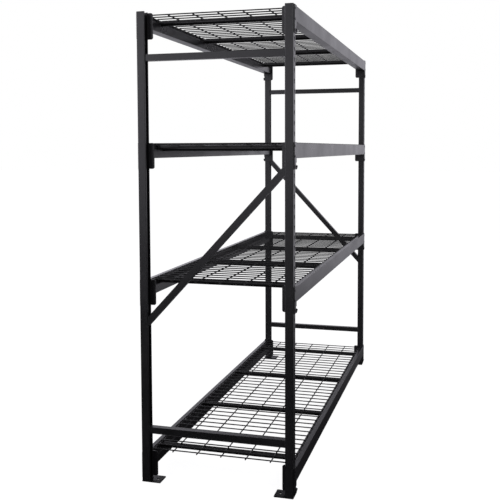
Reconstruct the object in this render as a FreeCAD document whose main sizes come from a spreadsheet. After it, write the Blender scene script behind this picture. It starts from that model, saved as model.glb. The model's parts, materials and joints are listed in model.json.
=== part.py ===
"""Boltless steel shelving: two welded end frames, eight hook-in step beams and four wire decks.

Frame: origin on the floor under the middle, +X along the length, +Y towards the rear, +Z up.
Lengths are millimetres. Every driving size is a cell of the sheet "Sizes"; the rest follows from them.
"""
import FreeCAD, Part
import math
import os

import Sketcher

Vector = FreeCAD.Vector
Placement = FreeCAD.Placement
Rotation = FreeCAD.Rotation

SIZES = {
    # overall
    "rack_length": 1956,
    "rack_depth": 610,
    "rack_height": 1829,
    # uprights: a lipped channel, open towards the inside of the end frame
    "post_width": 38,
    "post_depth": 32,
    "post_wall": 1.8,
    "post_corner": 3,
    # keyhole slots up the outer face of each upright
    "slot_pitch": 38.1,
    "slot_count": 48,
    "slot_first": 22.2,
    "slot_narrow_radius": 3.2,
    "slot_wide_radius": 5.6,
    "slot_drop": 9.5,
    # end frame braces: square tube
    "brace_size": 25.4,
    "brace_wall": 1.5,
    "brace_end_gap": 7,
    "top_tie_level": 1655,
    "low_tie_level": 207,
    "diagonal_low": 640,
    "diagonal_high": 1231,
    # foot plates
    "foot_thickness": 4,
    "foot_width": 62,
    "foot_reach": 76,
    "foot_corner": 2,
    "anchor_radius": 5.5,
    "anchor_inset": 20,
    # fit between parts that lift off each other
    "running_gap": 0.3,
    # beam end brackets
    "bracket_wall": 3.5,
    "bracket_height": 100,
    "bracket_depth": 55,
    "bracket_cover": 29,
    "bracket_corner": 8,
    "notch_low": 16,
    "notch_high": 25,
    "notch_width": 9,
    "tab_width": 11,
    "tab_proud": 4,
    "tab_height": 15,
    "tab_tip": 4,
    "tab_chamfer": 1,
    # hook studs
    "stud_first": 10,
    "stud_radius": 2.9,
    "stud_head_radius": 5,
    "stud_head_height": 2,
    "rivet_height": 1.2,
    # step beams
    "beam_rise": 41,
    "beam_height": 56,
    "beam_depth": 42,
    "beam_lip": 19,
    "beam_step": 22.5,
    "beam_wall": 1.8,
    "beam_corner": 1.5,
    # cross supports: round tube, cut away below at both ends to sit on the ledges
    "support_spacing": 540,
    "support_radius": 11,
    "support_wall": 1.5,
    "support_end_gap": 1.5,
    "support_seat_height": 7,
    "support_seat_gap": 1,
    # wire decks
    "wire_size": 5,
    "weld_sink": 0.6,
    "cross_wire_pitch": 49.09,
    "cross_wire_count": 38,
    "long_wire_pitch": 100,
    "edge_wire_offset": 284,
    "cross_wire_reach": 288,
    "long_wire_overhang": 8,
    # bottom of the brackets of each level, whole slot pitches apart
    "level_one": 12.5,
    "level_two": 698.3,
    "level_three": 1231.7,
    "level_four": 1727,
}
LEVELS = ("level_one", "level_two", "level_three", "level_four")
STUDS_PER_BRACKET = 3
LONG_WIRE_STEPS = (-2, -1, 0, 1, 2)
SUPPORT_STEPS = (-1.5, -0.5, 0.5, 1.5)
TINY = 1e-6

doc = FreeCAD.newDocument("BoltlessShelving")
sheet = doc.addObject("Spreadsheet::Sheet", "Sizes")
for row, (alias, size) in enumerate(SIZES.items(), start=1):
    sheet.set(f"A{row}", alias)
    sheet.set(f"B{row}", str(size))
    sheet.setAlias(f"B{row}", alias)
doc.recompute()


# ---------------------------------------------------------------- sizes as expressions
class Size:
    """A length with its value and the sheet expression that gives it."""

    def __init__(self, text, value):
        self.text = text
        self.value = value

    def __add__(self, other):
        other = as_size(other)
        return Size(f"({self.text} + {other.text})", self.value + other.value)

    def __sub__(self, other):
        other = as_size(other)
        return Size(f"({self.text} - {other.text})", self.value - other.value)

    def __mul__(self, other):
        other = as_size(other)
        return Size(f"({self.text} * {other.text})", self.value * other.value)

    def __truediv__(self, other):
        other = as_size(other)
        return Size(f"({self.text} / {other.text})", self.value / other.value)

    def __neg__(self):
        return Size(f"(0 - {self.text})", -self.value)

    def root(self):
        return Size(f"sqrt({self.text})", math.sqrt(self.value))


def as_size(thing):
    return thing if isinstance(thing, Size) else Size(str(thing), thing)


def cell(alias):
    return Size(f"Sizes.{alias}", float(SIZES[alias]))


ZERO = as_size(0)
half_length = cell("rack_length") / 2
half_depth = cell("rack_depth") / 2
post_lip = (cell("post_width") - cell("brace_size")) / 2
post_centre = half_length - cell("post_width") / 2
bracket_plane = half_length - cell("post_width") - cell("running_gap")
beam_end = bracket_plane - cell("bracket_wall")
beam_outer = half_depth + cell("running_gap") + cell("bracket_wall")
brace_reach = half_depth - cell("brace_end_gap")


# ---------------------------------------------------------------- sketch and feature helpers
def bind(thing, prop, size):
    thing.setExpression(prop, size.text)


def place(thing, x=ZERO, y=ZERO, z=ZERO, turned=False):
    """Puts a finished sub-part in the rack, turned half round about Z for the rear or the other end."""
    angle = 180 if turned else 0
    thing.Placement = Placement(
        Vector(x.value, y.value, z.value), Rotation(Vector(0, 0, 1), angle)
    )
    for prop, size in (("x", x), ("y", y), ("z", z)):
        bind(thing, f"Placement.Base.{prop}", size)


def new_body(name):
    body = doc.addObject("PartDesign::Body", name)
    body.Label = name
    return body


def datum(body, role):
    return next(f for f in body.Origin.OriginFeatures if f.Role == role)


def new_sketch(body, name, role, offset=None):
    """A sketch on one of the body's own origin planes, moved along the plane's normal by offset."""
    sketch = body.newObject("Sketcher::SketchObject", name)
    sketch.AttachmentSupport = [(datum(body, role), "")]
    sketch.MapMode = "FlatFace"
    if offset is not None:
        sketch.AttachmentOffset = Placement(Vector(0, 0, offset.value), Rotation())
        bind(sketch, "AttachmentOffset.Base.z", offset)
    return sketch


def pin_point(sketch, geometry, point, x, y):
    """Fixes a point of the sketch from its origin, with both distances bound to the sheet."""
    for kind, size in (("DistanceX", x), ("DistanceY", y)):
        index = sketch.addConstraint(
            Sketcher.Constraint(kind, -1, 1, geometry, point, size.value)
        )
        bind(sketch, f"Constraints[{index}]", size)


def add_outline(sketch, corners):
    """A closed outline of straight edges through the corners."""
    flat = [Vector(x.value, y.value, 0) for x, y in corners]
    first = sketch.GeometryCount
    for start, end in zip(flat, flat[1:] + flat[:1]):
        sketch.addGeometry(Part.LineSegment(start, end), False)
    for step, (x, y) in enumerate(corners):
        after = first + (step + 1) % len(corners)
        sketch.addConstraint(
            Sketcher.Constraint("Coincident", first + step, 2, after, 1)
        )
        pin_point(sketch, first + step, 1, x, y)


def add_circle(sketch, x, y, radius):
    circle = Part.Circle(Vector(x.value, y.value, 0), Vector(0, 0, 1), radius.value)
    index = sketch.addGeometry(circle, False)
    pin_point(sketch, index, 3, x, y)
    limit = sketch.addConstraint(Sketcher.Constraint("Radius", index, radius.value))
    bind(sketch, f"Constraints[{limit}]", radius)


def add_keyhole(sketch, low, drop, narrow, wide):
    """A teardrop slot: narrow round bottom at height low, wide round top drop above it."""
    high = low + drop
    lean = math.asin((wide.value - narrow.value) / drop.value)
    bottom = Part.Circle(Vector(0, low.value, 0), Vector(0, 0, 1), narrow.value)
    top = Part.Circle(Vector(0, high.value, 0), Vector(0, 0, 1), wide.value)
    side = Vector(math.cos(lean), -math.sin(lean), 0)
    mirror = Vector(-side.x, side.y, 0)
    low_point = Vector(0, low.value, 0)
    high_point = Vector(0, high.value, 0)
    sketch.addGeometry(Part.ArcOfCircle(bottom, math.pi + lean, 2 * math.pi - lean), False)
    sketch.addGeometry(
        Part.LineSegment(low_point + side * narrow.value, high_point + side * wide.value), False
    )
    sketch.addGeometry(Part.ArcOfCircle(top, -lean, math.pi + lean), False)
    sketch.addGeometry(
        Part.LineSegment(high_point + mirror * wide.value, low_point + mirror * narrow.value),
        False,
    )
    for one, one_end, other, other_end in ((0, 2, 1, 1), (1, 2, 2, 1), (2, 2, 3, 1), (3, 2, 0, 1)):
        sketch.addConstraint(Sketcher.Constraint("Tangent", one, one_end, other, other_end))
    pin_point(sketch, 0, 3, ZERO, low)
    pin_point(sketch, 2, 3, ZERO, high)
    for geometry, radius in ((0, narrow), (2, wide)):
        limit = sketch.addConstraint(Sketcher.Constraint("Radius", geometry, radius.value))
        bind(sketch, f"Constraints[{limit}]", radius)


def pad(body, sketch, name, length, both_ways=False):
    feature = body.newObject("PartDesign::Pad", name)
    feature.Profile = sketch
    feature.Length = length.value
    bind(feature, "Length", length)
    if both_ways:
        feature.SideType = "Symmetric"
    return feature


def pocket(body, sketch, name, length, both_ways=False):
    """A pocket that has to remove material: a pocket pointing away from the solid cuts nothing."""
    doc.recompute()
    before = body.Shape.Volume
    feature = body.newObject("PartDesign::Pocket", name)
    feature.Profile = sketch
    feature.Length = length.value
    bind(feature, "Length", length)
    if both_ways:
        feature.SideType = "Symmetric"
    doc.recompute()
    if not feature.Shape.Volume < before - TINY:
        raise RuntimeError(f"{body.Label}: {name} removes nothing")
    return feature


def pattern(body, original, name, axis_role, length, count):
    """Repeats one feature along an axis. A pattern needs its base solid computed first."""
    doc.recompute()
    feature = body.newObject("PartDesign::LinearPattern", name)
    feature.Originals = [original]
    feature.Direction = (datum(body, axis_role), [""])
    feature.Length = length.value
    bind(feature, "Length", length)
    feature.Occurrences = int(count.value)
    bind(feature, "Occurrences", count)
    body.Tip = feature
    return feature


def mirrored(body, originals, name, plane_role):
    feature = body.newObject("PartDesign::Mirrored", name)
    feature.Originals = originals
    feature.MirrorPlane = (datum(body, plane_role), [""])
    body.Tip = feature
    return feature


def round_edges(body, base, name, radius, wanted):
    """Fillets every edge of base whose middle point satisfies wanted(point, edge)."""
    doc.recompute()
    chosen = []
    for index, edge in enumerate(base.Shape.Edges, start=1):
        middle = edge.valueAt((edge.FirstParameter + edge.LastParameter) / 2)
        if wanted(middle, edge):
            chosen.append(f"Edge{index}")
    if not chosen:
        raise RuntimeError(f"{body.Label}: {name} finds no edge")
    feature = body.newObject("PartDesign::Fillet", name)
    feature.Base = (base, chosen)
    feature.Radius = radius.value
    bind(feature, "Radius", radius)
    return feature


def runs_along(edge, axis, length):
    """True for a straight edge of the full length along the axis."""
    if not isinstance(edge.Curve, Part.Line):
        return False
    return abs(edge.Length - length) < 0.01 and abs(abs(edge.Curve.Direction.dot(axis)) - 1) < TINY


def near(one, other):
    return abs(one - other) < 0.01


# ---------------------------------------------------------------- end frames
def make_upright(name, at_right, at_rear):
    """A roll-formed channel. Its slotted outer face is at its own y = 0 and its open side faces +Y."""
    body = new_body(name)
    half = cell("post_width") / 2
    wall = cell("post_wall")
    depth = cell("post_depth")
    height = cell("rack_height") - cell("foot_thickness")
    section = new_sketch(body, "ChannelSection", "XY_Plane")
    right = [
        (half, ZERO),
        (half, depth),
        (half - post_lip, depth),
        (half - post_lip, depth - wall),
        (half - wall, depth - wall),
        (half - wall, wall),
    ]
    left = [(-x, y) for x, y in reversed(right)]
    add_outline(section, right + left)
    channel = pad(body, section, "Channel", height)
    round_edges(
        body, channel, "FormedCorners", cell("post_corner"),
        lambda p, edge: runs_along(edge, Vector(0, 0, 1), height.value)
        and near(abs(p.x), half.value)
        and (near(p.y, 0) or near(p.y, depth.value)),
    )
    doc.recompute()
    slot_sketch = new_sketch(body, "SlotOutline", "XZ_Plane")
    add_keyhole(
        slot_sketch,
        cell("slot_first") - cell("foot_thickness"),
        cell("slot_drop"),
        cell("slot_narrow_radius"),
        cell("slot_wide_radius"),
    )
    slot = pocket(body, slot_sketch, "Slot", wall + 1)
    column = cell("slot_pitch") * (cell("slot_count") - 1)
    pattern(body, slot, "SlotColumn", "Z_Axis", column, cell("slot_count"))
    x = post_centre if at_right else -post_centre
    y = half_depth if at_rear else -half_depth
    place(body, x, y, cell("foot_thickness"), turned=at_rear)
    return body


def make_foot_plate(name, at_right, at_rear):
    """A flat plate under an upright, reaching inwards to its anchor hole."""
    body = new_body(name)
    half = cell("foot_width") / 2
    reach = cell("foot_reach")
    outline = new_sketch(body, "PlateOutline", "XY_Plane")
    add_outline(outline, [(half, ZERO), (half, reach), (-half, reach), (-half, ZERO)])
    plate = pad(body, outline, "Plate", cell("foot_thickness"))
    round_edges(
        body, plate, "InnerCorners", cell("foot_corner"),
        lambda p, edge: runs_along(edge, Vector(0, 0, 1), SIZES["foot_thickness"])
        and near(p.y, reach.value),
    )
    hole_sketch = new_sketch(body, "AnchorOutline", "XY_Plane", cell("foot_thickness"))
    add_circle(hole_sketch, ZERO, reach - cell("anchor_inset"), cell("anchor_radius"))
    pocket(body, hole_sketch, "AnchorHole", cell("foot_thickness") + 1)
    x = half_length - half
    place(body, x if at_right else -x, half_depth if at_rear else -half_depth, turned=at_rear)
    return body


def make_tie(name, at_right, level):
    """A level square tube between the two uprights of an end frame, ending inside their channels."""
    body = new_body(name)
    section = new_sketch(body, "TubeSection", "XZ_Plane")
    outer = cell("brace_size") / 2
    for half in (outer, outer - cell("brace_wall")):
        add_outline(section, [(half, half), (-half, half), (-half, -half), (half, -half)])
    pad(body, section, "Tube", brace_reach * 2, both_ways=True)
    place(body, post_centre if at_right else -post_centre, ZERO, cell(level))
    return body


def make_diagonal(name, at_right):
    """A sloping square tube with upright cut ends, high at the front on the left frame."""
    body = new_body(name)
    rise = (cell("diagonal_high") - cell("diagonal_low")) / (
        cell("rack_depth") - cell("post_depth") * 2
    )
    stretch = (rise * rise + 1).root()
    half_size = cell("brace_size") / 2
    end_rise = rise * brace_reach
    for outline_name, half in (("Outline", half_size), ("Bore", half_size - cell("brace_wall"))):
        sketch = new_sketch(body, outline_name, "YZ_Plane")
        thick = half * stretch
        add_outline(
            sketch,
            [
                (-brace_reach, end_rise - thick),
                (brace_reach, -end_rise - thick),
                (brace_reach, -end_rise + thick),
                (-brace_reach, end_rise + thick),
            ],
        )
        if outline_name == "Outline":
            pad(body, sketch, "Tube", half * 2, both_ways=True)
        else:
            pocket(body, sketch, "TubeBore", half * 2, both_ways=True)
    middle = (cell("diagonal_high") + cell("diagonal_low")) / 2
    place(body, post_centre if at_right else -post_centre, ZERO, middle, turned=at_right)
    return body


# ---------------------------------------------------------------- beams
def make_beam(name, level, at_rear):
    """A closed step beam. Its inner half is lower by the step and makes the ledge for the supports."""
    body = new_body(name)
    section = new_sketch(body, "StepSection", "YZ_Plane")
    height = cell("beam_height")
    ledge = height - cell("beam_step")
    outer = -beam_outer
    wall = cell("beam_wall")
    lip = outer + cell("beam_lip")
    inner = outer + cell("beam_depth")
    inner_corner = (lip, ledge)
    outline = [
        (outer, ZERO),
        (outer, height),
        (lip, height),
        inner_corner,
        (inner, ledge),
        (inner, ZERO),
    ]
    bore = [
        (outer + wall, wall),
        (outer + wall, height - wall),
        (lip - wall, height - wall),
        (lip - wall, ledge - wall),
        (inner - wall, ledge - wall),
        (inner - wall, wall),
    ]
    add_outline(section, outline)
    add_outline(section, bore)
    rail = pad(body, section, "Rail", beam_end * 2, both_ways=True)
    outside = [(y.value, z.value) for y, z in outline if (y, z) != inner_corner]
    round_edges(
        body, rail, "FormedEdges", cell("beam_corner"),
        lambda p, edge: runs_along(edge, Vector(1, 0, 0), beam_end.value * 2)
        and any(near(p.y, y) and near(p.z, z) for y, z in outside),
    )
    place(body, z=cell(level) + cell("beam_rise"), turned=at_rear)
    return body


def make_brackets(name, level, at_rear):
    """The two L-shaped end brackets of one beam, a separate solid at each end."""
    body = new_body(name)
    height = cell("bracket_height")
    wall = cell("bracket_wall")
    inner = -beam_outer + cell("bracket_depth")
    side_sketch = new_sketch(body, "SideLegOutline", "YZ_Plane", -bracket_plane)
    add_outline(
        side_sketch,
        [(-beam_outer, ZERO), (inner, ZERO), (inner, height), (-beam_outer, height)],
    )
    side_leg = pad(body, side_sketch, "SideLeg", wall)
    rounded = round_edges(
        body, side_leg, "FreeCorners", cell("bracket_corner"),
        lambda p, edge: runs_along(edge, Vector(1, 0, 0), wall.value) and near(p.y, inner.value),
    )
    fold = -bracket_plane
    free_edge = fold - cell("bracket_cover")
    notch = fold - cell("notch_width") + wall
    low, high = cell("notch_low"), cell("notch_high")
    front_sketch = new_sketch(body, "FrontLegOutline", "XZ_Plane", beam_outer - wall)
    add_outline(
        front_sketch,
        [(fold, ZERO), (fold, height), (free_edge, height), (free_edge, ZERO)],
    )
    front_leg = pad(body, front_sketch, "FrontLeg", wall)
    tab_sketch = new_sketch(body, "LockTabOutline", "YZ_Plane", -beam_end)
    proud = -beam_outer - cell("tab_proud")
    add_outline(
        tab_sketch,
        [
            (-beam_outer, ZERO),
            (-beam_outer, cell("tab_height")),
            (proud, cell("tab_height") - cell("tab_chamfer")),
            (proud, cell("tab_height") - cell("tab_chamfer") - cell("tab_tip")),
            (-beam_outer - cell("tab_chamfer"), ZERO),
        ],
    )
    tab = pad(body, tab_sketch, "LockTab", cell("tab_width"))
    tab.Reversed = True
    notch_sketch = new_sketch(body, "NotchOutline", "XZ_Plane", beam_outer)
    add_outline(notch_sketch, [(-beam_end, low), (-beam_end, high), (notch, high), (notch, low)])
    cut = pocket(body, notch_sketch, "FoldNotch", wall)
    hole_sketch = new_sketch(body, "StudHoleOutline", "XZ_Plane", beam_outer)
    for step in range(STUDS_PER_BRACKET):
        centre = cell("stud_first") + cell("slot_pitch") * step
        add_circle(hole_sketch, -post_centre, centre, cell("stud_radius"))
    holes = pocket(body, hole_sketch, "StudHoles", wall)
    mirrored(body, [side_leg, rounded, front_leg, tab, cut, holes], "RightBracket", "YZ_Plane")
    place(body, z=cell(level), turned=at_rear)
    return body


def make_studs(name, level, at_rear):
    """The riveted hook studs of one beam: a shank through bracket and slot, with a head behind it."""
    body = new_body(name)
    web_inside = half_depth - cell("post_wall") - cell("running_gap")
    stretches = (
        ("Rivet", beam_outer, cell("rivet_height"), cell("stud_head_radius") - 0.5),
        ("Shank", web_inside, beam_outer - web_inside, cell("stud_radius")),
        (
            "Head",
            web_inside - cell("stud_head_height"),
            cell("stud_head_height"),
            cell("stud_head_radius"),
        ),
    )
    for part_name, start, length, radius in stretches:
        sketch = new_sketch(body, f"{part_name}Outline", "XZ_Plane", start)
        for side in (-1, 1):
            for step in range(STUDS_PER_BRACKET):
                centre = cell("stud_first") + cell("slot_pitch") * step
                add_circle(sketch, post_centre * side, centre, radius)
        pad(body, sketch, part_name, length)
    place(body, z=cell(level), turned=at_rear)
    return body


# ---------------------------------------------------------------- supports and decks
ledge_rise = cell("beam_rise") + cell("beam_height") - cell("beam_step")
seat_rise = ledge_rise + cell("running_gap")
support_rise = seat_rise - cell("support_seat_height") + cell("support_radius")


def make_support(name, level, step):
    """A round tube across the rack, cut away below at each end so that it sits on a beam's ledge."""
    body = new_body(name)
    radius = cell("support_radius")
    tip = beam_outer - cell("beam_lip") - cell("support_end_gap")
    section = new_sketch(body, "TubeSection", "XZ_Plane")
    add_circle(section, ZERO, ZERO, radius)
    add_circle(section, ZERO, ZERO, radius - cell("support_wall"))
    pad(body, section, "Tube", tip * 2, both_ways=True)
    seat_from = beam_outer - cell("beam_depth") - cell("support_seat_gap")
    seat = cell("support_seat_height") - radius
    beyond, below = tip + 1, -radius - 1
    seat_sketch = new_sketch(body, "SeatOutline", "YZ_Plane")
    for side in (-1, 1):
        near_end, far_end = seat_from * side, beyond * side
        add_outline(
            seat_sketch,
            [(near_end, seat), (far_end, seat), (far_end, below), (near_end, below)],
        )
    pocket(body, seat_sketch, "Seats", radius * 2 + 2, both_ways=True)
    place(body, x=cell("support_spacing") * step, z=cell(level) + support_rise)
    return body


def add_wire_section(sketch, across, up):
    """An eight-sided wire section, wire_size across its flats."""
    half = cell("wire_size") / 2
    short = half * round(math.tan(math.pi / 8), 4)
    ring = [(half, short), (short, half), (-short, half), (-half, short)]
    ring += [(-x, -y) for x, y in ring]
    add_outline(sketch, [(across + x, up + y) for x, y in ring])


def make_deck(name, level):
    """A welded grid: seven long wires on the supports and the cross wires welded on top of them."""
    body = new_body(name)
    half_wire = cell("wire_size") / 2
    cross_level = cell("wire_size") * 1.5 - cell("weld_sink")
    first = -cell("cross_wire_pitch") * (cell("cross_wire_count") - 1) / 2
    cross_sketch = new_sketch(body, "CrossWireSection", "XZ_Plane")
    add_wire_section(cross_sketch, first, cross_level)
    cross = pad(body, cross_sketch, "CrossWire", cell("cross_wire_reach") * 2, both_ways=True)
    long_sketch = new_sketch(body, "LongWireSections", "YZ_Plane")
    for step in LONG_WIRE_STEPS:
        add_wire_section(long_sketch, cell("long_wire_pitch") * step, half_wire)
    for side in (-1, 1):
        add_wire_section(long_sketch, cell("edge_wire_offset") * side, half_wire)
    length = (cell("long_wire_overhang") - first) * 2
    pad(body, long_sketch, "LongWires", length, both_ways=True)
    spread = cell("cross_wire_pitch") * (cell("cross_wire_count") - 1)
    pattern(body, cross, "CrossWires", "X_Axis", spread, cell("cross_wire_count"))
    rise = support_rise + cell("support_radius") + cell("running_gap")
    place(body, z=cell(level) + rise)
    return body


# ---------------------------------------------------------------- the rack
nodes = []
for end, at_right in (("left", False), ("right", True)):
    for side, at_rear in (("front", False), ("rear", True)):
        nodes.append(make_upright(f"upright_{end}_{side}", at_right, at_rear))
        nodes.append(make_foot_plate(f"foot_plate_{end}_{side}", at_right, at_rear))
    nodes.append(make_tie(f"top_tie_{end}", at_right, "top_tie_level"))
    nodes.append(make_tie(f"low_tie_{end}", at_right, "low_tie_level"))
    nodes.append(make_diagonal(f"diagonal_{end}", at_right))
for number, level in enumerate(LEVELS, start=1):
    for side, at_rear in (("front", False), ("rear", True)):
        nodes.append(make_beam(f"beam_{side}_{number}", level, at_rear))
        nodes.append(make_brackets(f"brackets_{side}_{number}", level, at_rear))
        nodes.append(make_studs(f"hook_studs_{side}_{number}", level, at_rear))
    for place_number, step in enumerate(SUPPORT_STEPS, start=1):
        nodes.append(make_support(f"support_{number}_{place_number}", level, step))
    nodes.append(make_deck(f"wire_deck_{number}", level))
doc.recompute()

# ---------------------------------------------------------------- checks and export
for thing in doc.Objects:
    if "Invalid" in thing.State or "Error" in thing.State:
        raise RuntimeError(f"{thing.Label} ({thing.Name}) failed: {thing.State}")
solids_expected = {"brackets": 2, "hook_studs": 2 * STUDS_PER_BRACKET}
os.makedirs("parts", exist_ok=True)
for body in nodes:
    shape = body.Shape
    if shape.isNull() or not shape.isValid():
        raise RuntimeError(f"{body.Label} has no valid shape")
    wanted = next((n for key, n in solids_expected.items() if body.Label.startswith(key)), 1)
    if len(shape.Solids) != wanted:
        raise RuntimeError(f"{body.Label} has {len(shape.Solids)} solids, not {wanted}")
    shape.exportStep(f"parts/{body.Label}.step")
print(f"{len(nodes)} parts written")
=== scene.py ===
"""Looks of the boltless steel shelving: black powder coat, round wires, cut tube ends and weld beads.

Everything is in metres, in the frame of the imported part: +X along the rack, +Y to its rear, +Z up.
"""
import json
import math
import random

import bmesh
import bpy
from mathutils import Matrix, Vector


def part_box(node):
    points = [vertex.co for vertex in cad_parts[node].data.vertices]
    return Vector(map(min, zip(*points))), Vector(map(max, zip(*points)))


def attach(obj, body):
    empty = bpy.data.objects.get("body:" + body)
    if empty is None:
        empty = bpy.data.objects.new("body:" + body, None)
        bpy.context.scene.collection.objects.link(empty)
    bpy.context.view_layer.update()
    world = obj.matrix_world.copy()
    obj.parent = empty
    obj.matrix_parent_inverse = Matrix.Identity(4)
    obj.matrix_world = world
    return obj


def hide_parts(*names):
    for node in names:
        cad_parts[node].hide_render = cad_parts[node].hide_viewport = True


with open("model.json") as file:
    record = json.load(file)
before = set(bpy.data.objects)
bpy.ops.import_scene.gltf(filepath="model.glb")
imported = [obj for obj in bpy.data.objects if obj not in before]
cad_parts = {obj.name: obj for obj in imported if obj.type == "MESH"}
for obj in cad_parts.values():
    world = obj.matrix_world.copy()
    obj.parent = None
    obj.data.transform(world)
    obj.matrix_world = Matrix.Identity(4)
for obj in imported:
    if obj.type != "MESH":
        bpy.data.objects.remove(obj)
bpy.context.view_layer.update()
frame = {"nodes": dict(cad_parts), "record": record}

MM = 0.001
LEVELS = (1, 2, 3, 4)
SUPPORTS = (1, 2, 3, 4)
SIDES = ("front", "rear")
ENDS = ("left", "right")

for leftover in ("Cube", "Light", "Camera"):
    if leftover in bpy.data.objects:
        bpy.data.objects.remove(bpy.data.objects[leftover])


# ---------------------------------------------------------------- camera
CAMERA_PLACE = Vector((-3.7622, -0.9299, 1.3071))
CAMERA_YAW = math.radians(15.814)      # from +X towards +Y
CAMERA_PITCH = math.radians(-3.865)
CAMERA_ROLL = math.radians(-0.21)
CAMERA_LENS = 56.48
CAMERA_SENSOR = 36
CAMERA_SHIFT_Y = -0.096
CAMERA_CLIP_END = 200


def make_camera():
    forward = Vector((
        math.cos(CAMERA_YAW) * math.cos(CAMERA_PITCH),
        math.sin(CAMERA_YAW) * math.cos(CAMERA_PITCH),
        math.sin(CAMERA_PITCH),
    ))
    level_right = Vector((math.sin(CAMERA_YAW), -math.cos(CAMERA_YAW), 0))
    level_up = level_right.cross(forward)
    turn = Matrix.Rotation(-CAMERA_ROLL, 3, forward)
    right, up = turn @ level_right, turn @ level_up
    data = bpy.data.cameras.new("camera")
    data.sensor_width = CAMERA_SENSOR
    data.lens = CAMERA_LENS
    data.shift_y = CAMERA_SHIFT_Y
    data.clip_end = CAMERA_CLIP_END
    camera = bpy.data.objects.new("camera", data)
    bpy.context.scene.collection.objects.link(camera)
    rows = zip(right, up, -forward, CAMERA_PLACE)
    camera.matrix_world = Matrix([list(row) for row in rows] + [[0, 0, 0, 1]])
    bpy.context.scene.camera = camera


# ---------------------------------------------------------------- node helpers
def add_node(tree, kind, **settings):
    node = tree.nodes.new(kind)
    for name, value in settings.items():
        setattr(node, name, value)
    return node


def set_inputs(node, **values):
    for name, value in values.items():
        node.inputs[name.replace("_", " ")].default_value = value


def noise(tree, coordinates, scale, detail=3.0, roughness=0.5):
    node = add_node(tree, "ShaderNodeTexNoise")
    set_inputs(node, Scale=scale, Detail=detail, Roughness=roughness)
    tree.links.new(coordinates, node.inputs["Vector"])
    return node.outputs["Fac"]


def spread(tree, value, low, high, from_low=0.3, from_high=0.7):
    """Maps a value onto the range low to high."""
    node = add_node(tree, "ShaderNodeMapRange")
    tree.links.new(value, node.inputs["Value"])
    set_inputs(node, From_Min=from_low, From_Max=from_high, To_Min=low, To_Max=high)
    return node.outputs["Result"]


def multiply(tree, first, second):
    node = add_node(tree, "ShaderNodeMath", operation="MULTIPLY")
    tree.links.new(first, node.inputs[0])
    tree.links.new(second, node.inputs[1])
    return node.outputs["Value"]


def mix_colors(tree, factor, first, second):
    node = add_node(tree, "ShaderNodeMix", data_type="RGBA")
    tree.links.new(factor, node.inputs["Factor"])
    for socket, color in (("A", first), ("B", second)):
        target = next(i for i in node.inputs if i.name == socket and i.type == "RGBA")
        if isinstance(color, bpy.types.NodeSocket):
            tree.links.new(color, target)
        else:
            target.default_value = (*color, 1)
    return next(o for o in node.outputs if o.type == "RGBA")


def bump(tree, height, depth, normal=None):
    node = add_node(tree, "ShaderNodeBump")
    set_inputs(node, Strength=1.0, Distance=depth)
    tree.links.new(height, node.inputs["Height"])
    if normal is not None:
        tree.links.new(normal, node.inputs["Normal"])
    return node.outputs["Normal"]


# ---------------------------------------------------------------- materials
RIPPLE_SHARE = 0.12            # the ripple's frequency, as a share of the orange peel's
RIPPLE_DEPTH_RATIO = 2
CLOUD_SCALE = 7.0
DUST_SCALE = 260.0
DUST_RANGE = (0.66, 0.74)      # noise below this is bare coat, above it a full speck
DUST_STRENGTH = 0.35
DUST_LIGHTNESS = 3             # times the coat's light tone

# name of the slot: dark tone, light tone, roughness range, size of the peel, depth of the peel
COATS = {
    "frame": (
        (0.0060, 0.0060, 0.0064), (0.0095, 0.0093, 0.0100), (0.27, 0.34), 1.1 * MM, 0.05 * MM,
    ),
    "beam": (
        (0.0075, 0.0072, 0.0080), (0.0115, 0.0110, 0.0122), (0.26, 0.34), 1.1 * MM, 0.05 * MM,
    ),
    "support": (
        (0.0075, 0.0074, 0.0078), (0.0110, 0.0108, 0.0114), (0.26, 0.34), 0.9 * MM, 0.04 * MM,
    ),
    "wire": (
        (0.0070, 0.0070, 0.0073), (0.0105, 0.0104, 0.0108), (0.26, 0.36), 0.8 * MM, 0.03 * MM,
    ),
    "stud": (
        (0.0080, 0.0080, 0.0083), (0.0130, 0.0130, 0.0133), (0.28, 0.38), 0.6 * MM, 0.03 * MM,
    ),
}


def powder_coat(name, dark, light, gloss, grain_size, grain_depth):
    """Powder coat: a near-black skin with an orange-peel surface and slow changes in gloss and tone."""
    material = bpy.data.materials.new(name)
    material.use_nodes = True
    tree = material.node_tree
    shader = tree.nodes["Principled BSDF"]
    coordinates = add_node(tree, "ShaderNodeTexCoord").outputs["Object"]
    peel = noise(tree, coordinates, 1 / grain_size, detail=2.0)
    ripple = noise(tree, coordinates, RIPPLE_SHARE / grain_size, detail=2.0)
    cloud = noise(tree, coordinates, CLOUD_SCALE, detail=4.0)
    dust = noise(tree, coordinates, DUST_SCALE, detail=1.0)
    tone = mix_colors(tree, spread(tree, cloud, 0, 1), dark, light)
    specks = spread(tree, dust, 0, DUST_STRENGTH, *DUST_RANGE)
    tone = mix_colors(tree, specks, tone, tuple(DUST_LIGHTNESS * c for c in light))
    tree.links.new(tone, shader.inputs["Base Color"])
    tree.links.new(spread(tree, cloud, *gloss), shader.inputs["Roughness"])
    normal = bump(tree, peel, grain_depth)
    ripples = bump(tree, ripple, grain_depth * RIPPLE_DEPTH_RATIO, normal)
    tree.links.new(ripples, shader.inputs["Normal"])
    return material


def make_materials():
    return {slot: powder_coat(f"{slot}_coat", *look) for slot, look in COATS.items()}


def paint_cad_nodes(materials):
    slots = {part["node"]: part["material_slot"] for part in frame["record"]["subparts"]}
    for node, thing in frame["nodes"].items():
        thing.data.materials.clear()
        thing.data.materials.append(materials[slots[node]])


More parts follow.
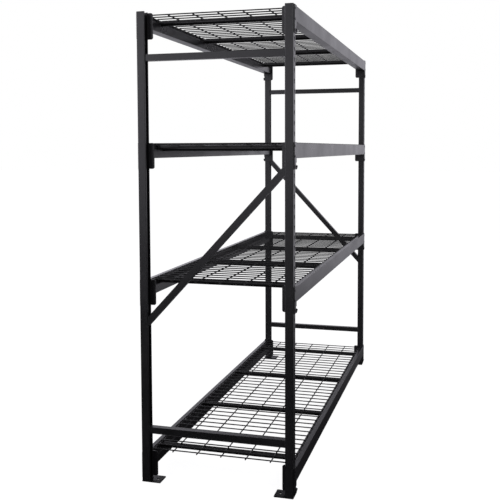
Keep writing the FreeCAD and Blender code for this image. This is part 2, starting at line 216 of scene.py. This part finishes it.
# ---------------------------------------------------------------- mesh helpers
def new_piece(name, mesh_maker, material, body):
    """Makes an object from a filled bmesh and puts it on its body and material slot."""
    shape = bmesh.new()
    mesh_maker(shape)
    bmesh.ops.recalc_face_normals(shape, faces=shape.faces)
    mesh = bpy.data.meshes.new(name)
    shape.to_mesh(mesh)
    shape.free()
    mesh.materials.append(material)
    mesh.shade_smooth()
    piece = bpy.data.objects.new(name, mesh)
    bpy.context.scene.collection.objects.link(piece)
    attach(piece, body)
    return piece


def join_rings(shape, rings):
    """A closed skin over rings of points. Every ring has the same number of points."""
    verts = [[shape.verts.new(point) for point in ring] for ring in rings]
    count = len(rings[0])
    for lower, upper in zip(verts, verts[1:]):
        for step in range(count):
            after = (step + 1) % count
            shape.faces.new((lower[step], lower[after], upper[after], upper[step]))
    shape.faces.new(list(reversed(verts[0])))
    shape.faces.new(verts[-1])


def circle_points(centre, across, up, radius, count):
    turns = (2 * math.pi * step / count for step in range(count))
    return [centre + across * (radius * math.cos(t)) + up * (radius * math.sin(t)) for t in turns]


# ---------------------------------------------------------------- wire decks
WIRE_SIDES = 12
WIRE_RADIUS = 2.5 * MM
WIRE_WANDER = 0.25 * MM     # how far a wire strays from straight between welds
WIRE_DOME = (0.35, 0.75, 0.95)     # radii of the rings that round a wire's end, in wire radii
NUGGET = Vector((3.7 * MM, 3.7 * MM, 1.8 * MM))
NUGGET_TILTS = (-1.2, -0.65, 0, 0.65, 1.2)
NUGGET_SIDES = 8
CROSS_WIRES = 38
CROSS_WIRE_PITCH = 49.09 * MM
CROSS_WIRE_REACH = 288 * MM
LONG_WIRES = tuple(y * MM for y in (-284, -200, -100, 0, 100, 200, 284))


def add_wire(shape, start, end, welds, dice):
    """A round wire with domed ends. It strays a little between its welds."""
    along = (end - start).normalized()
    side = along.cross(Vector((0, 0, 1)))
    up = side.cross(along)
    length = (end - start).length
    dome = [(r, 1 - math.sqrt(1 - r * r)) for r in WIRE_DOME]
    stations = [(depth * WIRE_RADIUS, r * WIRE_RADIUS) for r, depth in dome]
    stations += [(at, WIRE_RADIUS) for at in [WIRE_RADIUS] + welds + [length - WIRE_RADIUS]]
    stations += [(length - depth * WIRE_RADIUS, r * WIRE_RADIUS) for r, depth in reversed(dome)]
    rings = []
    for at, radius in stations:
        wander = side * dice.uniform(-WIRE_WANDER, WIRE_WANDER) * (radius == WIRE_RADIUS)
        rings.append(circle_points(start + along * at + wander, side, up, radius, WIRE_SIDES))
    join_rings(shape, rings)


def add_nugget(shape, centre):
    """The small swelling that spot welding leaves where two wires cross."""
    rings = []
    for tilt in NUGGET_TILTS:
        middle = centre + Vector((0, 0, NUGGET.z * math.sin(tilt)))
        across = Vector((NUGGET.x * math.cos(tilt), 0, 0))
        up = Vector((0, NUGGET.y * math.cos(tilt), 0))
        rings.append(circle_points(middle, across, up, 1, NUGGET_SIDES))
    join_rings(shape, rings)


def fill_deck(shape, low, high, dice):
    """The grid of one deck inside the box of its CAD node: long wires below, cross wires on top."""
    middle = (low + high) / 2
    long_level = low.z + WIRE_RADIUS
    cross_level = high.z - WIRE_RADIUS
    places = [middle.x + (n - (CROSS_WIRES - 1) / 2) * CROSS_WIRE_PITCH for n in range(CROSS_WIRES)]
    for y in LONG_WIRES:
        welds = [x - low.x for x in places]
        add_wire(shape, Vector((low.x, y, long_level)), Vector((high.x, y, long_level)), welds, dice)
    for x in places:
        welds = [y + CROSS_WIRE_REACH for y in LONG_WIRES[1:-1]]
        start = Vector((x, -CROSS_WIRE_REACH, cross_level))
        add_wire(shape, start, Vector((x, CROSS_WIRE_REACH, cross_level)), welds, dice)
        for y in LONG_WIRES:
            add_nugget(shape, Vector((x, y, (long_level + cross_level) / 2)))


def make_decks(material):
    for level in LEVELS:
        node = f"wire_deck_{level}"
        low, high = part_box(node)
        dice = random.Random(level)
        deck = new_piece(
            f"welded_grid_{level}",
            lambda shape: fill_deck(shape, low, high, dice),
            material, f"deck_{level}",
        )
        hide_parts(node)


# ---------------------------------------------------------------- cross supports
SUPPORT_RADIUS = 11 * MM
SUPPORT_BORE = 9.5 * MM
SUPPORT_BURR = 0.3 * MM     # how far the sawn edge is rounded
SEAT_DROP = 4 * MM          # the seat's cut lies this far below the tube's axis
SEAT_START = 265.8 * MM     # the seat runs from here to the tube's end
SUPPORT_UPPER_STEPS = 34
SUPPORT_LOWER_STEPS = 14
SUPPORT_STEPS = SUPPORT_UPPER_STEPS + SUPPORT_LOWER_STEPS
SUPPORT_SHARP_ANGLE = math.radians(35)


def support_arc(radius):
    """Angles round the tube: first the arc above the seat's cut, then the arc that the seat takes away."""
    cut = math.asin(SEAT_DROP / radius)
    upper_start, upper_end = -cut, math.pi + cut
    lower_end = 2 * math.pi - cut
    upper = [
        upper_start + (upper_end - upper_start) * step / SUPPORT_UPPER_STEPS
        for step in range(SUPPORT_UPPER_STEPS + 1)
    ]
    lower = [
        upper_end + (lower_end - upper_end) * step / SUPPORT_LOWER_STEPS
        for step in range(1, SUPPORT_LOWER_STEPS)
    ]
    return upper + lower


def steps_round(first, last):
    """Neighbouring steps round the tube, from the first to the last."""
    return [(step, (step + 1) % SUPPORT_STEPS) for step in range(first, last)]


def fill_support(shape, low, high):
    """A tube across the rack. Both ends are cut away below, so that they sit on the beams' ledges."""
    x = (low.x + high.x) / 2
    axis = low.z + SUPPORT_RADIUS
    reach = high.y
    places = [-reach, -reach + SUPPORT_BURR, -SEAT_START, SEAT_START, reach - SUPPORT_BURR, reach]
    ends = (0, len(places) - 1)
    seat_starts = (places.index(-SEAT_START), places.index(SEAT_START))
    skins = []
    for radius, sawn in ((SUPPORT_RADIUS, -SUPPORT_BURR), (SUPPORT_BORE, SUPPORT_BURR)):
        rings = []
        for number, y in enumerate(places):
            size = radius + sawn if number in ends else radius
            whole = abs(y) <= SEAT_START
            rings.append([
                shape.verts.new((x + size * math.cos(t), y, axis + size * math.sin(t)))
                if whole or step <= SUPPORT_UPPER_STEPS else None
                for step, t in enumerate(support_arc(radius))
            ])
        skins.append(rings)
    outer, inner = skins
    for number in range(len(places) - 1):
        over_seat = number != seat_starts[0]
        last = SUPPORT_UPPER_STEPS if over_seat else SUPPORT_STEPS
        for step, after in steps_round(0, last):
            shape.faces.new((
                outer[number][step], outer[number][after],
                outer[number + 1][after], outer[number + 1][step],
            ))
            shape.faces.new((
                inner[number][after], inner[number][step],
                inner[number + 1][step], inner[number + 1][after],
            ))
        if over_seat:
            for step in (0, SUPPORT_UPPER_STEPS):
                shape.faces.new((
                    outer[number][step], outer[number + 1][step],
                    inner[number + 1][step], inner[number][step],
                ))
    walls = [(number, steps_round(0, SUPPORT_UPPER_STEPS)) for number in ends]
    walls += [(number, steps_round(SUPPORT_UPPER_STEPS, SUPPORT_STEPS)) for number in seat_starts]
    for number, pairs in walls:
        for step, after in pairs:
            shape.faces.new((
                outer[number][step], outer[number][after], inner[number][after], inner[number][step],
            ))


def make_supports(material):
    for level in LEVELS:
        for number in SUPPORTS:
            node = f"support_{level}_{number}"
            low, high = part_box(node)
            tube = new_piece(
                f"seated_tube_{level}_{number}",
                lambda shape: fill_support(shape, low, high),
                material, f"supports_{level}",
            )
            tube.data.set_sharp_from_angle(angle=SUPPORT_SHARP_ANGLE)
            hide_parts(node)


# ---------------------------------------------------------------- weld beads
BEAD_RADIUS = 1.9 * MM
BEAD_STEP = 1.1 * MM
BEAD_SIDES = 8
BEAD_RIPPLE = 0.14
BEAD_WANDER = 0.25 * MM
BEAD_BLUNT_START = 0.55         # share of the bead's radius at its ends
BEAD_BLUNT_GAIN = 0.25          # how much it grows with each step from an end
BEAD_SEED = 200
FRAME_SEED = 100
BEAM_LIP = 19 * MM
BEAM_STEP = 22.5 * MM
DIAGONAL_SLOPE = 591 / 546       # rise over run between the uprights


def bead_stations(path):
    """Points a short step apart along straight runs."""
    points = [path[0]]
    for start, end in zip(path, path[1:]):
        steps = max(2, round((end - start).length / BEAD_STEP))
        points += [start.lerp(end, step / steps) for step in range(1, steps + 1)]
    return points


def add_bead(shape, path, dice):
    """A welded seam: a rippled bead that follows a path, with blunt ends."""
    points = bead_stations(path)
    rings = []
    for number, point in enumerate(points):
        before = points[max(number - 1, 0)]
        after = points[min(number + 1, len(points) - 1)]
        along = (after - before).normalized()
        side = along.orthogonal().normalized()
        to_end = min(number, len(points) - 1 - number)
        blunt = min(1, BEAD_BLUNT_START + BEAD_BLUNT_GAIN * to_end)
        swell = 1 + BEAD_RIPPLE * (math.cos(number * math.pi / 2) + dice.uniform(-0.5, 0.5))
        centre = point + side * dice.uniform(-BEAD_WANDER, BEAD_WANDER)
        rings.append(circle_points(
            centre, side, side.cross(along), BEAD_RADIUS * blunt * swell, BEAD_SIDES
        ))
    join_rings(shape, rings)


def brace_joints(end, lip):
    """Where the braces of an end frame meet the uprights' lips: y, middle height, half height."""
    joints = []
    for tie in (f"top_tie_{end}", f"low_tie_{end}"):
        low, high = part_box(tie)
        half = (high.z - low.z) / 2
        joints += [(y, (low.z + high.z) / 2, half) for y in (-lip, lip)]
    low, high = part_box(f"diagonal_{end}")
    falls = DIAGONAL_SLOPE if end == "right" else -DIAGONAL_SLOPE
    half = (high.x - low.x) / 2 * math.hypot(1, DIAGONAL_SLOPE)
    joints += [(y, (low.z + high.z) / 2 + falls * y, half) for y in (-lip, lip)]
    return joints


def fill_frame_welds(shape, end, dice):
    """Beads of one end frame: braces to the uprights' lips and uprights to their foot plates."""
    upright_low, upright_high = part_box(f"upright_{end}_rear")
    tie_low, tie_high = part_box(f"top_tie_{end}")
    lip = upright_low.y
    for y, middle, half in brace_joints(end, lip):
        reach = half - BEAD_RADIUS
        for x in (tie_low.x, tie_high.x):
            add_bead(shape, [Vector((x, y, middle - reach)), Vector((x, y, middle + reach))], dice)
    inner_x, lip_edge = upright_high.x, tie_high.x
    if end == "right":
        inner_x, lip_edge = upright_low.x, tie_low.x
    outer = upright_high.y - BEAD_RADIUS
    floor = upright_low.z
    for way in (-1, 1):
        add_bead(shape, [
            Vector((inner_x, way * outer, floor)),
            Vector((inner_x, way * lip, floor)),
            Vector((lip_edge, way * lip, floor)),
        ], dice)


def fill_beam_welds(shape, side, level, dice):
    """Beads round both ends of one beam, on the faces of its brackets."""
    low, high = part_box(f"beam_{side}_{level}")
    front = side == "front"
    way = 1 if front else -1
    outer = low.y if front else high.y
    inner = high.y if front else low.y
    lip = outer + way * BEAM_LIP
    ledge = high.z - BEAM_STEP
    profile = [
        (outer + way * 2 * BEAD_RADIUS, high.z),
        (lip, high.z),
        (lip, ledge),
        (inner, ledge),
        (inner, low.z),
        (outer + way * 2 * BEAD_RADIUS, low.z),
    ]
    for x in (low.x, high.x):
        add_bead(shape, [Vector((x, y, z)) for y, z in profile], dice)


def make_welds(frame_coat, beam_coat):
    for number, end in enumerate(ENDS):
        dice = random.Random(FRAME_SEED + number)
        new_piece(
            f"frame_welds_{end}", lambda shape: fill_frame_welds(shape, end, dice),
            frame_coat, "end_frames",
        )
    for side in SIDES:
        for level in LEVELS:
            dice = random.Random(BEAD_SEED + level)
            new_piece(
                f"beam_welds_{side}_{level}",
                lambda shape: fill_beam_welds(shape, side, level, dice),
                beam_coat, f"{side}_beam_{level}",
            )


# ---------------------------------------------------------------- formed edges of the sheet parts
EDGE_RADIUS = 0.5 * MM
TUBE_EDGE_RADIUS = 0.7 * MM
EDGE_SEGMENTS = 2
EDGE_ANGLE = math.radians(40)     # only corners sharper than this are rounded


def soften_edges(prefixes, radius):
    """Rounds the sheared edges of the sheet-metal nodes a little, so that they catch light."""
    for node, thing in frame["nodes"].items():
        if not node.startswith(prefixes):
            continue
        rounding = thing.modifiers.new("sheared_edges", "BEVEL")
        rounding.width = radius
        rounding.segments = EDGE_SEGMENTS
        rounding.limit_method = "ANGLE"
        rounding.angle_limit = EDGE_ANGLE
        rounding.harden_normals = True


# ---------------------------------------------------------------- studio
SKY_STRENGTH = 1.25         # on the side of the photographed end, low in the sky
SKY_FAR_SHARE = 0.85        # the same, on the far end's side
SKY_FRONT_SHARE = 0.80      # towards the front
SKY_REAR_SHARE = 1.75       # towards the rear
SKY_HIGH_SHARE = 0.26       # overhead
SKY_ALONG = (-0.5, 0.5)     # from here to here, in the direction's X, the near share fades to the far one
SKY_ACROSS = (0.15, 0.5)    # the same in Y, from the front share to the rear one
SKY_UPWARD = (0.17, 0.34)   # the same in Z, from full strength to the overhead share
SKY_TINT = (0.975, 0.955, 1.04)
FLOOR_STRENGTH = 0.58
FLOOR_DARK_STRENGTH = 0.02
FLOOR_FRONT_SHARE = 1.0
FLOOR_REAR_SHARE = 0.9
FLOOR_ACROSS = (-1.0, 3.0)  # from here to here, in Y, the front share fades to the rear one
FLOOR_SIZE = 80
FLOOR_DROP = 0.2 * MM
FLOOR_COLOR = (0.32, 0.32, 0.32)
FLOOR_GLOW = 0.91           # light of its own that the camera sees, so that shadows stay faint
DARK_MIDDLE = Vector((-4.0, -0.5, 0))
DARK_NARROWING = 1.6        # the dark patch is this much narrower across the rack than along it
DARK_RADIUS = 3.5
BRIGHT_RADIUS = 10.0
KEY_PLACE = Vector((-2.6, -3.2, 3.4))
KEY_AIM = Vector((0, 0, 1.1))
KEY_SIZE = (3.0, 2.0)
KEY_ENERGY = 60


def choose_for_camera(tree, other_rays, camera_rays):
    """One shader for the camera's own rays and another for all light."""
    choose = add_node(tree, "ShaderNodeMixShader")
    is_camera = add_node(tree, "ShaderNodeLightPath").outputs["Is Camera Ray"]
    tree.links.new(is_camera, choose.inputs["Fac"])
    tree.links.new(other_rays, choose.inputs[1])
    tree.links.new(camera_rays, choose.inputs[2])
    return choose.outputs["Shader"]


def make_world():
    """White for the camera. Its light is a soft studio surround, weaker straight above."""
    world = bpy.data.worlds.new("studio")
    world.use_nodes = True
    bpy.context.scene.world = world
    tree = world.node_tree
    seen_sky = tree.nodes["Background"]
    set_inputs(seen_sky, Color=(1, 1, 1, 1), Strength=1.0)
    direction = add_node(tree, "ShaderNodeTexCoord").outputs["Generated"]
    split = add_node(tree, "ShaderNodeSeparateXYZ")
    tree.links.new(direction, split.inputs["Vector"])
    lit_sky = add_node(tree, "ShaderNodeBackground")
    set_inputs(lit_sky, Color=(*SKY_TINT, 1))
    far_strength = SKY_STRENGTH * SKY_FAR_SHARE
    along = spread(tree, split.outputs["X"], SKY_STRENGTH, far_strength, *SKY_ALONG)
    upward = spread(tree, split.outputs["Z"], 1.0, SKY_HIGH_SHARE, *SKY_UPWARD)
    across = spread(tree, split.outputs["Y"], SKY_FRONT_SHARE, SKY_REAR_SHARE, *SKY_ACROSS)
    level = multiply(tree, along, across)
    tree.links.new(multiply(tree, level, upward), lit_sky.inputs["Strength"])
    sky = choose_for_camera(tree, lit_sky.outputs["Background"], seen_sky.outputs["Background"])
    tree.links.new(sky, tree.nodes["World Output"].inputs["Surface"])


def floor_light(tree):
    """What the object sees of the floor: dark close by, bright from some metres away."""
    place = add_node(tree, "ShaderNodeTexCoord").outputs["Object"]
    offset = add_node(tree, "ShaderNodeVectorMath", operation="SUBTRACT")
    tree.links.new(place, offset.inputs[0])
    offset.inputs[1].default_value = DARK_MIDDLE
    narrow = add_node(tree, "ShaderNodeVectorMath", operation="MULTIPLY")
    tree.links.new(offset.outputs["Vector"], narrow.inputs[0])
    narrow.inputs[1].default_value = (1, DARK_NARROWING, 0)
    away = add_node(tree, "ShaderNodeVectorMath", operation="LENGTH")
    tree.links.new(narrow.outputs["Vector"], away.inputs[0])
    fade = add_node(tree, "ShaderNodeMapRange", interpolation_type="SMOOTHSTEP")
    tree.links.new(away.outputs["Value"], fade.inputs["Value"])
    set_inputs(
        fade, From_Min=DARK_RADIUS, From_Max=BRIGHT_RADIUS,
        To_Min=FLOOR_DARK_STRENGTH, To_Max=FLOOR_STRENGTH,
    )
    glow = add_node(tree, "ShaderNodeEmission")
    set_inputs(glow, Color=(*SKY_TINT, 1))
    split = add_node(tree, "ShaderNodeSeparateXYZ")
    tree.links.new(place, split.inputs["Vector"])
    across = spread(tree, split.outputs["Y"], FLOOR_FRONT_SHARE, FLOOR_REAR_SHARE, *FLOOR_ACROSS)
    tree.links.new(multiply(tree, fade.outputs["Result"], across), glow.inputs["Strength"])
    return glow.outputs["Emission"]


def floor_look(tree):
    """What the camera sees of the floor: pale, with faint soft shadows."""
    pale = add_node(tree, "ShaderNodeBsdfDiffuse")
    set_inputs(pale, Color=(*FLOOR_COLOR, 1))
    glow = add_node(tree, "ShaderNodeEmission")
    set_inputs(glow, Color=(1, 1, 1, 1), Strength=FLOOR_GLOW)
    both = add_node(tree, "ShaderNodeAddShader")
    tree.links.new(pale.outputs["BSDF"], both.inputs[0])
    tree.links.new(glow.outputs["Emission"], both.inputs[1])
    return both.outputs["Shader"]


def see_through_from_below(tree, surface):
    """The surface from above, and nothing from below."""
    one_sided = add_node(tree, "ShaderNodeMixShader")
    is_below = add_node(tree, "ShaderNodeNewGeometry").outputs["Backfacing"]
    clear = add_node(tree, "ShaderNodeBsdfTransparent")
    tree.links.new(is_below, one_sided.inputs["Fac"])
    tree.links.new(surface, one_sided.inputs[1])
    tree.links.new(clear.outputs["BSDF"], one_sided.inputs[2])
    return one_sided.outputs["Shader"]


def make_floor():
    material = bpy.data.materials.new("floor")
    material.use_nodes = True
    tree = material.node_tree
    tree.nodes.remove(tree.nodes["Principled BSDF"])
    surface = choose_for_camera(tree, floor_light(tree), floor_look(tree))
    surface = see_through_from_below(tree, surface)
    tree.links.new(surface, tree.nodes["Material Output"].inputs["Surface"])
    material.cycles.emission_sampling = "NONE"
    half = FLOOR_SIZE / 2
    mesh = bpy.data.meshes.new("floor")
    corners = [(-half, -half, 0), (half, -half, 0), (half, half, 0), (-half, half, 0)]
    mesh.from_pydata(corners, [], [(0, 1, 2, 3)])
    mesh.materials.append(material)
    floor = bpy.data.objects.new("floor", mesh)
    floor.location.z = -FLOOR_DROP
    bpy.context.scene.collection.objects.link(floor)


def make_lights():
    """One broad soft light high on the photographed corner's side."""
    data = bpy.data.lights.new("key", "AREA")
    data.shape = "RECTANGLE"
    data.size, data.size_y = KEY_SIZE
    data.energy = KEY_ENERGY
    key = bpy.data.objects.new("key", data)
    key.location = KEY_PLACE
    key.rotation_euler = (KEY_AIM - KEY_PLACE).to_track_quat("-Z", "Y").to_euler()
    bpy.context.scene.collection.objects.link(key)


# ---------------------------------------------------------------- the scene
make_camera()
bpy.context.scene.view_settings.view_transform = "Standard"
coats = make_materials()
paint_cad_nodes(coats)
make_decks(coats["wire"])
make_supports(coats["support"])
make_welds(coats["frame"], coats["beam"])
soften_edges(("brackets", "foot_plate", "hook_studs"), EDGE_RADIUS)
soften_edges(("top_tie", "low_tie", "diagonal"), TUBE_EDGE_RADIUS)
make_world()
make_floor()
make_lights()

bpy.context.view_layer.update()
